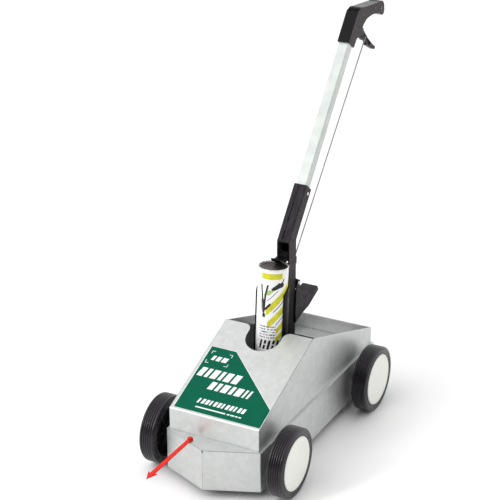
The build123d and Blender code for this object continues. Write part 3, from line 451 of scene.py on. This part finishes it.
def can_print_look(name, origin):
    """White can with lime diagonal bands, violet lines, black brush strokes and rows of
    plain marks.  Places are (mm round the can from its front, mm below its base)."""
    look = Look(name, Specular_IOR_Level=0.25, Coat_Weight=0.35, Coat_Roughness=0.1)
    turned = look.add("ShaderNodeMapping")
    look.put(turned.inputs["Vector"], look.vector(
        "SUBTRACT", look.coordinates.outputs["Object"], tuple(origin)))
    turned.inputs["Rotation"].default_value = (radians(CAN_LEAN), 0, 0)
    axes = look.split(turned.outputs[0])
    angle = look.math("ARCTAN2", axes[0], look.math("MULTIPLY", axes[1], -1.0))
    from_front = look.math("SUBTRACT", angle, radians(PRINT_AZIMUTH))
    around = look.math("MULTIPLY", from_front, CAN_RADIUS)
    down = look.math("MULTIPLY", axes[2], -1.0 / MM)
    spot = look.join(around, down)
    ragged = look.add("ShaderNodeTexNoise")
    look.put(ragged.inputs["Vector"], spot)
    ragged.inputs["Scale"].default_value = 0.35
    ragged.inputs["Detail"].default_value = 4
    wobble = look.vector("SCALE", look.vector(
        "SUBTRACT", ragged.outputs["Color"], (0.5, 0.5, 0.5)), scale=2.6)
    brushed = look.vector("ADD", spot, wobble)

    def between(value, low, high):
        return look.math("MULTIPLY", look.math("GREATER_THAN", value, low),
                         look.math("LESS_THAN", value, high))

    def both(*masks):
        result = masks[0]
        for mask in masks[1:]:
            result = look.math("MULTIPLY", result, mask)
        return result

    def any_of(*masks):
        result = masks[0]
        for mask in masks[1:]:
            result = look.math("MAXIMUM", result, mask)
        return result

    def stroke(start, end, radius):
        """A ragged brush stroke from start to end."""
        span = Vector((end[0] - start[0], end[1] - start[1], 0))
        offset = look.vector("SUBTRACT", brushed, (start[0], start[1], 0))
        share = look.math("DIVIDE", look.vector("DOT_PRODUCT", offset, tuple(span)),
                          max(span.length_squared, 1e-6), clamp=True)
        near = look.vector("SCALE", tuple(span), scale=share)
        return look.math("LESS_THAN", look.vector(
            "LENGTH", look.vector("SUBTRACT", offset, near)), radius)

    diagonal = look.math("ADD", around, down)
    main_side = between(around, -14.0, 70.0)
    bands = any_of(
        both(between(diagonal, 71.5, 90.5), main_side),
        both(between(diagonal, 107.0, 124.0), between(around, -10.0, 70.0)),
        both(between(diagonal, 143.0, 156.0), between(around, 9.0, 70.0)),
        both(between(diagonal, 163.0, 175.0), between(around, 9.0, 70.0)),
        both(between(down, 8.0, 21.0), between(around, -27.0, 21.0)),
        both(between(down, 30.0, 178.0), between(around, 82.0, 112.0)),
    )
    pale = both(between(diagonal, 36.0, 49.0), between(down, 45.0, 57.0),
                between(around, -20.0, 6.0))
    lines = any_of(
        both(between(diagonal, 95.5, 98.2), between(around, 2.0, 40.0)),
        both(between(diagonal, 131.0, 133.6), between(around, 8.0, 40.0)),
        both(between(diagonal, 57.0, 59.0), between(around, -12.0, 12.0)),
        between(look.math("ABSOLUTE", look.math("SUBTRACT", around, 97.0)), 17.0, 18.6),
    )
    splash = any_of(
        stroke((3, 41), (11, 38), 4.4), stroke((10, 37), (20, 34), 5.4),
        stroke((20, 33), (25, 22), 1.6), stroke((-1, 43), (3, 43), 2.6),
        stroke((13, 31), (16, 32), 2.4),
    )
    strokes = any_of(
        stroke((-26.6, 36), (-22.8, 68), 2.0), stroke((-22.8, 68), (-19.6, 96), 2.8),
        stroke((-11.4, 36), (-16.4, 58), 2.2), stroke((-16.4, 58), (-19.0, 92), 2.4),
        stroke((-5.6, 77.5), (-15.6, 89), 2.6), stroke((-18.5, 102), (-18.7, 104.5), 3.6),
    )
    thin = stroke((-29.5, 62), (-23.7, 93), 0.8)
    row_place = look.math("DIVIDE", look.math("SUBTRACT", down, ROWS_TOP), ROW_PITCH)
    row = look.math("FRACT", row_place)
    rows_zone = both(between(down, ROWS_TOP, 157.0), between(around, -29.0, 9.0))
    row_number = look.math("FLOOR", row_place)
    dashes = look.add("ShaderNodeTexNoise")
    look.put(dashes.inputs["Vector"], look.join(look.math("MULTIPLY", around, 0.42),
                                                look.math("MULTIPLY", row_number, 7.3)))
    dashes.inputs["Scale"].default_value = 1.0
    rows = both(rows_zone, between(row, 0.2, 0.68),
                look.math("GREATER_THAN", dashes.outputs["Fac"], 0.47))
    slanted = look.math("FRACT", look.math(
        "DIVIDE", look.math("ADD", around, look.math("MULTIPLY", down, 0.22)), 9.4))
    blocks = both(between(down, 160.0, 181.0), between(around, -30.0, 26.0),
                  between(slanted, 0.18, 0.72))
    gaps = both(between(look.math("FRACT", look.math("DIVIDE", around, 18.8)), 0.0, 0.5),
                between(down, 168.5, 171.5))
    blocks = both(blocks, look.math("SUBTRACT", 1.0, gaps))
    tone = look.remap(look.noise(look.place(), 60, 4), (0.3, 0.7), (0.95, 1.03))
    colour = look.shade(WHITE_PRINT, tone)
    lime_tone = look.remap(look.noise(look.place(), 90, 4), (0.35, 0.7), (0.82, 1.12))
    colour = look.mix(pale, colour, (0.42, 0.56, 0.20))
    colour = look.mix(bands, colour, look.shade(LIME, lime_tone))
    colour = look.mix(lines, colour, VIOLET)
    colour = look.mix(thin, colour, (0.25, 0.24, 0.28))
    colour = look.mix(rows, colour, (0.09, 0.07, 0.16))
    colour = look.mix(any_of(splash, strokes, blocks), colour, INK)
    look.colour(colour)
    look.rough(look.remap(look.noise(look.place(), 150, 3), (0.3, 0.7), (0.22, 0.34)))
    look.bump(look.noise(look.place(), 500, 2), 0.0002, 0.15)
    return look.material


# ------------------------------------------------------------------ mesh building
def new_piece(name, verts, faces, look, body, smooth=True):
    """A visible piece with one material, riding on a body of the part."""
    mesh = bpy.data.meshes.new(name)
    mesh.from_pydata([tuple(v) for v in verts], [], faces)
    made = bmesh.new()
    made.from_mesh(mesh)
    bmesh.ops.recalc_face_normals(made, faces=made.faces)
    made.to_mesh(mesh)
    made.free()
    mesh.shade_smooth() if smooth else mesh.shade_flat()
    mesh.materials.append(look)
    piece = linked(name, mesh)
    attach(piece, body)
    return piece


def lathe(name, profile, centre, steps, look, body):
    """Turns a closed profile of (radius, x) round an axis along X through the centre."""
    verts, faces = [], []
    count = len(profile)
    for step in range(steps):
        angle = 2 * pi * step / steps
        for radius, x in profile:
            verts.append(centre + Vector((x, radius * cos(angle), radius * sin(angle))))
    for step in range(steps):
        ring, next_ring = step * count, (step + 1) % steps * count
        for k in range(count):
            n = (k + 1) % count
            faces.append((ring + k, ring + n, next_ring + n, next_ring + k))
    return new_piece(name, verts, faces, look, body)


def tube(name, points, radius, look, body, sides):
    """A wire swept along points, with closed ends."""
    verts, faces = [], []
    lift = (points[1] - points[0]).normalized().orthogonal().normalized()
    for k, point in enumerate(points):
        ahead = points[min(k + 1, len(points) - 1)] - points[max(k - 1, 0)]
        ahead.normalize()
        lift = (lift - ahead * lift.dot(ahead)).normalized()
        across = ahead.cross(lift)
        for side in range(sides):
            angle = 2 * pi * side / sides
            verts.append(point + radius * (lift * cos(angle) + across * sin(angle)))
    for k in range(len(points) - 1):
        for side in range(sides):
            a, b = k * sides + side, k * sides + (side + 1) % sides
            faces.append((a, b, b + sides, a + sides))
    faces.append(tuple(range(sides)))
    faces.append(tuple(range(len(verts) - sides, len(verts))))
    return new_piece(name, verts, faces, look, body)


def soften(piece, width, segments=2, angle=32):
    """Rounds edges sharper than the angle and shades the flat faces flat."""
    bevel = piece.modifiers.new("edges", "BEVEL")
    bevel.width = width
    bevel.segments = segments
    bevel.limit_method = "ANGLE"
    bevel.angle_limit = radians(angle)
    bevel.use_clamp_overlap = True
    normals = piece.modifiers.new("normals", "WEIGHTED_NORMAL")
    normals.keep_sharp = False
    normals.weight = 90


def soften_node(node, width, segments=2, angle=32):
    """The same for a CAD node, whose triangles are first joined into whole faces."""
    piece = nodes[node]
    weld = piece.modifiers.new("weld", "WELD")
    weld.merge_threshold = 0.002 * MM
    faces = piece.modifiers.new("faces", "DECIMATE")
    faces.decimate_type = "DISSOLVE"
    faces.angle_limit = radians(0.4)
    soften(piece, width, segments, angle)


def give(look, *names):
    """Puts one material on CAD nodes."""
    for name in names:
        slots = nodes[name].data.materials
        slots.clear()
        slots.append(look)


# ------------------------------------------------------------------ looks for every slot
sheet_grey = (0.615, 0.63, 0.62)
half_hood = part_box("slope_panel")[1].x
galvanised = galvanised_look("galvanised", sheet_grey)
# the slope panel carries a painted shade line along its side edges
galvanised_slope = galvanised_look("galvanised_slope", sheet_grey, half_hood - 0.9 * MM)
# painted shade: the prow plate is the same sheet as the rest, coloured darker to stand in for
# shade
galvanised_prow_shaded = galvanised_look("galvanised_prow_shaded", (0.47, 0.48, 0.475))
# painted shade: the compartment's floor, partition and wand socket are the same sheet, coloured
# darker as the shade inside the compartment
galvanised_inside_shaded = galvanised_look("galvanised_inside_shaded", (0.40, 0.41, 0.41))
label_green = vinyl_look("label_green", (0.0, 0.108, 0.058), 0.48)
label_white = vinyl_look("label_white", (0.84, 0.88, 0.86), 0.42)
# painted light on both mouldings: sides coloured lighter than front and back; the wand bracket's
# colours also darken downwards as painted shade
bracket_plastic = moulding_look("wand_plastic", (0.022, 0.019, 0.023), (0.055, 0.048, 0.052),
                                0.34, (0.432, 0.440), (0.31, 0.37))
cradle_plastic = plastic_look("cradle_plastic", (0.005, 0.0045, 0.005), 0.34, specular=0.08)
grip_plastic = moulding_look("grip_plastic", (0.0025, 0.0018, 0.0028), (0.050, 0.041, 0.043),
                             0.20)
pedal_plastic = plastic_look("pedal_plastic", (0.011, 0.008, 0.011), 0.44, specular=0.12)
core_plastic = plastic_look("wheel_core_plastic", (0.012, 0.011, 0.012), 0.55)
nylon = plastic_look("nylon", (0.62, 0.60, 0.53), 0.5, 900, 0.2, 0.5)
head_plastic = plastic_look("spray_head_plastic", (0.74, 0.74, 0.72), 0.35, 900, 0.2, 0.5)
aluminium = metal_look("anodised_tube", (0.60, 0.635, 0.615), 0.50, (radians(WAND_LEAN), 0, 0),
                       (1, 1, 0.02), 0.35)
rod_metal = metal_look("rod_wire", (0.30, 0.31, 0.31), 0.36, (radians(WAND_LEAN), 0, 0),
                       (1, 1, 0.03))
fastener_metal = metal_look("bright_zinc", (0.66, 0.67, 0.69), 0.28)
axle_metal = metal_look("axle_steel", (0.50, 0.51, 0.53), 0.34, stretch=(0.05, 1, 1))
spring_metal = metal_look("spring_wire", (0.30, 0.30, 0.32), 0.32)
lever_paint = plastic_look("lever_paint", (0.0045, 0.0045, 0.005), 0.40, specular=0.06)
tin = metal_look("tinplate", (0.55, 0.55, 0.56), 0.26)
# painted light: the can base is one tinplate, its dome coloured dark as a painted reflection and
# its rim bright as a painted highlight
base_tin_painted_light = radial_metal_look("base_tin_painted_light", "can_base", (0.075, 0.062, 0.060), (0.78, 0.79, 0.78),
                             30 * MM, (0, -sin(radians(CAN_LEAN)), cos(radians(CAN_LEAN))))
black_pin = metal_look("black_pin", (0.09, 0.085, 0.085), 0.34, metallic=0.5)
ringed_pin = radial_metal_look("ringed_pin", "pedal_pin", (0.70, 0.70, 0.70),
                               (0.012, 0.011, 0.012), 3.2 * MM, (1, 0, 0))
rubber = rubber_look("ribbed_rubber")
disc_white = disc_look("hub_disc_white")
pointer_enamel = enamel_look("pointer_enamel", (0.74, 0.014, 0.004), (0.42, 0.008, 0.004))

give(galvanised, "side_panel_left", "side_panel_right", "rear_wall", "skirt_left", "skirt_right")
give(galvanised_prow_shaded, "prow_plate")
give(galvanised_slope, "slope_panel")
give(galvanised_inside_shaded, "floor_plate", "partition", "wand_socket")
give(label_green, "front_label")
give(fastener_metal, "body_rivets", "socket_bolt", "sleeve_bolt", "axle_clips")
give(pointer_enamel, "pointer_pivot", "pointer")
give(axle_metal, "front_axle", "rear_axle", "wheel_spacers", "front_axle_plates",
     "rear_axle_plates")
give(black_pin, "lever_pin", "trigger_pin", "grip_screws")
give(ringed_pin, "pedal_pin")
give(spring_metal, "pedal_spring", "trigger_spring")
give(bracket_plastic, "wand_bracket")
give(cradle_plastic, "can_cradle", "nozzle_seat")
give(grip_plastic, "grip_left", "grip_right", "trigger")
give(pedal_plastic, "release_pedal")
give(lever_paint, "press_lever")
give(rod_metal, "pull_rod")
give(aluminium, "wand_tube")
give(tin, "valve_cup")
give(base_tin_painted_light, "can_base")
give(head_plastic, "spray_head", "valve_stem")

# ------------------------------------------------------------------ edges of the CAD nodes
for node in ("slope_panel", "side_panel_left", "side_panel_right", "rear_wall", "skirt_left",
             "skirt_right", "prow_plate", "partition", "floor_plate", "wand_socket"):
    soften_node(node, 0.45 * MM)
for node in ("grip_left", "grip_right"):
    soften_node(node, 2.4 * MM, 3, 40)
for node, width in (("trigger", 0.9), ("release_pedal", 0.8), ("wand_bracket", 0.5),
                    ("can_cradle", 0.6), ("nozzle_seat", 0.6), ("press_lever", 0.5),
                    ("wand_tube", 0.25), ("front_label", 0.08)):
    soften_node(node, width * MM)

# ------------------------------------------------------------------ can
can_low, can_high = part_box("can_base")
rim_half = (can_high.x - can_low.x) / 2
base_middle = Vector((0, (can_low.y + can_high.y) / 2,
                      can_high.z - rim_half * sin(radians(CAN_LEAN))))
give(can_print_look("can_print", base_middle), "can_body")

# ------------------------------------------------------------------ wheels
TYRE_STEPS = 168
SHOULDER_STEPS = 5


def tyre_profile(radius, half, bore):
    """Ribbed tread, rounded shoulders, and sidewalls with a bead and a raised ring."""
    ribs, groove, depth = 6, 2.1 * MM, 2.4 * MM
    shoulder = 2.6 * MM
    outer = half - 1.0 * MM
    side_points = [
        (bore + rise * MM, half - back * MM) for rise, back in (
            (0, 2.6), (0.4, 1.0), (1.5, 0.2), (3.2, 0), (4.4, 0.3), (5.0, 1.1), (8.5, 0.9),
            (9.0, 0.4), (10.0, 0.4), (10.6, 1.0))
    ]
    for step in range(1, SHOULDER_STEPS + 1):
        angle = step / SHOULDER_STEPS * pi / 2
        side_points.append((radius - 0.4 * MM - shoulder * (1 - sin(angle)) * 0.9,
                            outer - shoulder * (1 - cos(angle))))
    flat = outer - shoulder
    pitch = (2 * flat + 1.2 * MM) / ribs
    tread = []
    for rib in range(ribs):
        middle = flat + 0.6 * MM - (rib + 0.5) * pitch
        top = (pitch - groove) / 2
        crown = radius - 0.1 * MM * abs(middle) / flat
        if rib:
            tread += [(crown - depth, middle + top + groove * 0.75),
                      (crown - depth, middle + top + groove * 0.25)]
        tread += [(crown - 0.35 * MM, middle + top - 0.05 * MM), (crown, middle + top - 0.5 * MM),
                  (crown, middle - top + 0.5 * MM), (crown - 0.35 * MM, middle - top + 0.05 * MM)]
    mirrored = [(r, -x) for r, x in reversed(side_points)]
    return side_points + tread[1:-1] + mirrored


for place in ("front_left", "front_right", "rear_left", "rear_right"):
    low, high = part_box(f"tyre_{place}")
    middle = (low + high) / 2
    bore = (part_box(f"hub_disc_{place}")[1].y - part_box(f"hub_disc_{place}")[0].y) / 2
    profile = tyre_profile((high.z - low.z) / 2, (high.x - low.x) / 2, bore)
    tyre = lathe(f"ribbed_tyre_{place}", profile, middle, TYRE_STEPS, rubber,
                 f"wheel_{place}")
    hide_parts(f"tyre_{place}")
    give(disc_white, f"hub_disc_{place}")
    give(core_plastic, f"wheel_core_{place}")
    give(nylon, f"bush_{place}")
    soften_node(f"wheel_core_{place}", 0.5 * MM)

# ------------------------------------------------------------------ label graphics
label = nodes["front_label"].data
face = max(label.polygons, key=lambda p: p.area * (p.normal.z > 0))
out = face.normal.copy()
up_slope = out.cross(RIGHT).normalized()
heights = [v.co.dot(up_slope) for v in label.vertices]
levels = [v.co.dot(out) for v in label.vertices]
label_foot, label_face = min(heights), max(levels)
label_top = max(heights) - label_foot
label_left, label_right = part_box("front_label")[0].x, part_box("front_label")[1].x


def on_label(x, s, n=0.0):
    """A point at x, s up the slope from the label's foot and n above its face."""
    return RIGHT * x + up_slope * (label_foot + s) + out * (label_face + n)


shoulder_x = max(v.co.x for v in label.vertices
                 if v.co.dot(up_slope) > label_foot + label_top - MM)
step_s = max(v.co.dot(up_slope) for v in label.vertices
             if v.co.x > label_right - MM) - label_foot
label_outline = [
    Vector((label_left, 0)), Vector((label_right, 0)), Vector((label_right, step_s)),
    Vector((shoulder_x, label_top)), Vector((label_left, label_top)),
]


def inset(outline, width):
    """The outline moved inwards by the width."""
    moved = []
    count = len(outline)
    for k in range(count):
        before = (outline[k] - outline[k - 1]).normalized()
        after = (outline[(k + 1) % count] - outline[k]).normalized()
        normal_a, normal_b = Vector((-before.y, before.x)), Vector((-after.y, after.x))
        moved.append(outline[k] + (normal_a + normal_b) * width / (1 + normal_a.dot(normal_b)))
    return moved


def band(name, outline, width, high, look):
    """A closed strip of constant width that follows an outline on the label."""
    inner = inset(outline, width)
    count = len(outline)
    verts = [on_label(p.x, p.y, h) for h in (0.0, high) for ring in (outline, inner) for p in ring]
    faces = []
    for k in range(count):
        n = (k + 1) % count
        faces += [
            (2 * count + k, 2 * count + n, 3 * count + n, 3 * count + k),
            (k, n, 2 * count + n, 2 * count + k),
            (count + k, count + n, 3 * count + n, 3 * count + k),
            (k, n, count + n, count + k),
        ]
    return new_piece(name, verts, faces, look, "hood", smooth=False)


PRINT_HIGH = 0.06 * MM           # height of the white print above the label
LETTER_SLANT = 0.2               # sideways lean for each unit of height
BRACKET_LINE, BRACKET_ARM = 1.2, 8       # mm, width and length of a corner bracket's arms

band("label_border", label_outline, 1.0 * MM, PRINT_HIGH, label_white)


def slanted(x, s, width, height):
    """A parallelogram that leans to the right."""
    lean_x = LETTER_SLANT * height
    return [Vector(p) * MM for p in (
        (x, s), (x + width, s), (x + width + lean_x, s + height), (x + lean_x, s + height))]


# Generic road-marking graphics: corner brackets, two rows of bold slanted dashes, a fine
# row and an underline.  Millimetres from the label's left edge and foot.
graphics = []
for x, width, height in ((16, 7, 13), (27, 9, 13), (40, 12, 13)):
    graphics.append(slanted(x, 142, width, height))
for x, s, turn_x, turn_s in ((7, 132, 1, 1), (60, 132, -1, 1), (9, 167, 1, -1), (58, 167, -1, -1)):
    line_x, line_s = x + BRACKET_LINE * turn_x, s + BRACKET_LINE * turn_s
    end_x, end_s = x + BRACKET_ARM * turn_x, s + BRACKET_ARM * turn_s
    graphics.append([Vector(p) * MM for p in (
        (x, s), (end_x, s), (end_x, line_s), (x, line_s))])
    graphics.append([Vector(p) * MM for p in (
        (x, line_s), (line_x, line_s), (line_x, end_s), (x, end_s))])
for x, width, s, height in (
    (6, 12, 94, 25), (23, 8, 94, 25), (36, 14, 94, 25), (55, 8, 94, 25), (68, 14, 94, 25),
    (87, 14, 94, 25), (46, 12, 65, 22), (63, 8, 65, 22), (76, 14, 65, 22), (95, 8, 65, 22),
    (108, 14, 65, 22), (127, 5, 65, 22), (137, 5, 65, 22),
):
    graphics.append(slanted(x, s, width, height))
for k in range(12):
    graphics.append(slanted(42 + 9.4 * k, 25.5, 6.4 if k % 3 else 4.4, 13))
graphics.append(slanted(45, 13, 70, 3.2))
for x, width in ((119, 6), (127, 9), (138, 6), (146, 6)):
    graphics.append(slanted(x, 13, width, 3.2))
verts, faces = [], []
for shape in graphics:
    start, count = len(verts), len(shape)
    for high in (0.0, PRINT_HIGH):
        verts += [on_label(label_left + p.x, p.y, high) for p in shape]
    faces.append(tuple(range(start + count, start + 2 * count)))
    faces.append(tuple(reversed(range(start, start + count))))
    faces += [(start + k, start + (k + 1) % count, start + count + (k + 1) % count,
               start + count + k) for k in range(count)]
new_piece("label_graphics", verts, faces, label_white, "hood", smooth=False)

# ------------------------------------------------------------------ pointer
pointer_low, pointer_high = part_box("pointer")
pointer_x = (pointer_low.x + pointer_high.x) / 2
pointer_half = 8.5 * MM / 2
head_half = (pointer_high.x - pointer_low.x) / 2
head_length = 24 * MM
pivot_low, pivot_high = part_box("pointer_pivot")
pivot_y = (pivot_low.y + pivot_high.y) / 2
hole, end_radius = 3.15 * MM, 6 * MM
ROUND_STEPS = 24


def pointer_mesh():
    """The red arrow: a flat bar with a barbed head and a drilled round end."""
    made = bmesh.new()
    outline = [(0, pointer_low.y), (head_half, pointer_low.y + head_length),
               (pointer_half, pointer_low.y + head_length - 3 * MM)]
    start = atan2(-sqrt(end_radius ** 2 - pointer_half ** 2), pointer_half)
    for k in range(ROUND_STEPS + 1):
        angle = start + (pi - 2 * start) * k / ROUND_STEPS
        outline.append((end_radius * cos(angle), pivot_y + end_radius * sin(angle)))
    outline += [(-x, y) for x, y in reversed(outline[1:3])]
    ring = [made.verts.new((pointer_x + x, y, pointer_low.z)) for x, y in outline]
    edges = [made.edges.new((ring[k], ring[(k + 1) % len(ring)])) for k in range(len(ring))]
    turns = [2 * pi * k / ROUND_STEPS for k in range(ROUND_STEPS)]
    hole_ring = [made.verts.new((pointer_x + hole * cos(turn), pivot_y + hole * sin(turn),
                                 pointer_low.z)) for turn in turns]
    edges += [made.edges.new((hole_ring[k], hole_ring[(k + 1) % ROUND_STEPS]))
              for k in range(ROUND_STEPS)]
    filled = bmesh.ops.triangle_fill(made, edges=edges, use_beauty=True, use_dissolve=False)
    flat = [f for f in filled["geom"] if isinstance(f, bmesh.types.BMFace)]
    grown = bmesh.ops.extrude_face_region(made, geom=flat)
    rise = Vector((0, 0, pointer_high.z - pointer_low.z))
    lifted = [v for v in grown["geom"] if isinstance(v, bmesh.types.BMVert)]
    bmesh.ops.translate(made, vec=rise, verts=lifted)
    bmesh.ops.recalc_face_normals(made, faces=made.faces)
    bmesh.ops.dissolve_limit(made, angle_limit=radians(0.5), verts=made.verts, edges=made.edges)
    mesh = bpy.data.meshes.new("pointer_arrow")
    made.to_mesh(mesh)
    made.free()
    return mesh


arrow = linked("pointer_arrow", pointer_mesh())
arrow.data.materials.append(pointer_enamel)
arrow.data.shade_smooth()
soften(arrow, 0.7 * MM, 3, 50)
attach(arrow, "pointer")
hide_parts("pointer")


# ------------------------------------------------------------------ eyelet in the hang hole
hang_mount = next(m for m in frame["record"]["mounts"] if m["name"] == "hang_hole")
hang_centre = Vector(hang_mount["pos_m"])
hang_radius = hang_mount["dims"]["r_mm"] * MM
eyelet_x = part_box("grip_right")[1].x - hang_centre.x
flange = [(hang_radius - 0.1 * MM, -3 * MM), (hang_radius - 0.5 * MM, -3 * MM)]
for step in range(9):
    angle = pi * step / 8
    flange.append((hang_radius + 0.7 * MM - 1.2 * MM * cos(angle), 0.55 * MM * sin(angle)))
flange.append((hang_radius + 1.9 * MM, -0.02 * MM))
flange.append((hang_radius - 0.1 * MM, -0.02 * MM))
lathe("hang_eyelet", [(r, eyelet_x + x - 0.56 * MM) for r, x in flange], hang_centre, 40,
      fastener_metal, "hood")


# ------------------------------------------------------------------ springs
COIL_STEPS = 28


def coil(name, node, wire, look):
    """A torsion spring in place of a CAD node's rings: one helix."""
    low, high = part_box(node)
    middle = (low + high) / 2
    radius = (high.z - low.z) / 2 - wire
    run = high.x - low.x - 2 * wire
    turns = int(run / (2.15 * wire))
    count = turns * COIL_STEPS
    points = []
    for k in range(count + 1):
        angle = 2 * pi * turns * k / count
        points.append(Vector((low.x + wire + run * k / count, middle.y + radius * cos(angle),
                              middle.z + radius * sin(angle))))
    spring = tube(name, points, wire * 0.96, look, "hood", 12)
    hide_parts(node)


coil("pedal_coil", "pedal_spring", 0.8 * MM, spring_metal)
coil("trigger_coil", "trigger_spring", 0.6 * MM, spring_metal)

# ------------------------------------------------------------------ studio
make_camera()
make_floor()
make_sky()
sun_light("key", (-0.45, -0.50, 0.75), 0.8, 40)
area_light("strip", (-1.1, -2.4, 1.5), (0, -0.2, 0.1), (0.22, 0.9), 20)
bpy.context.scene.view_settings.view_transform = "Standard"
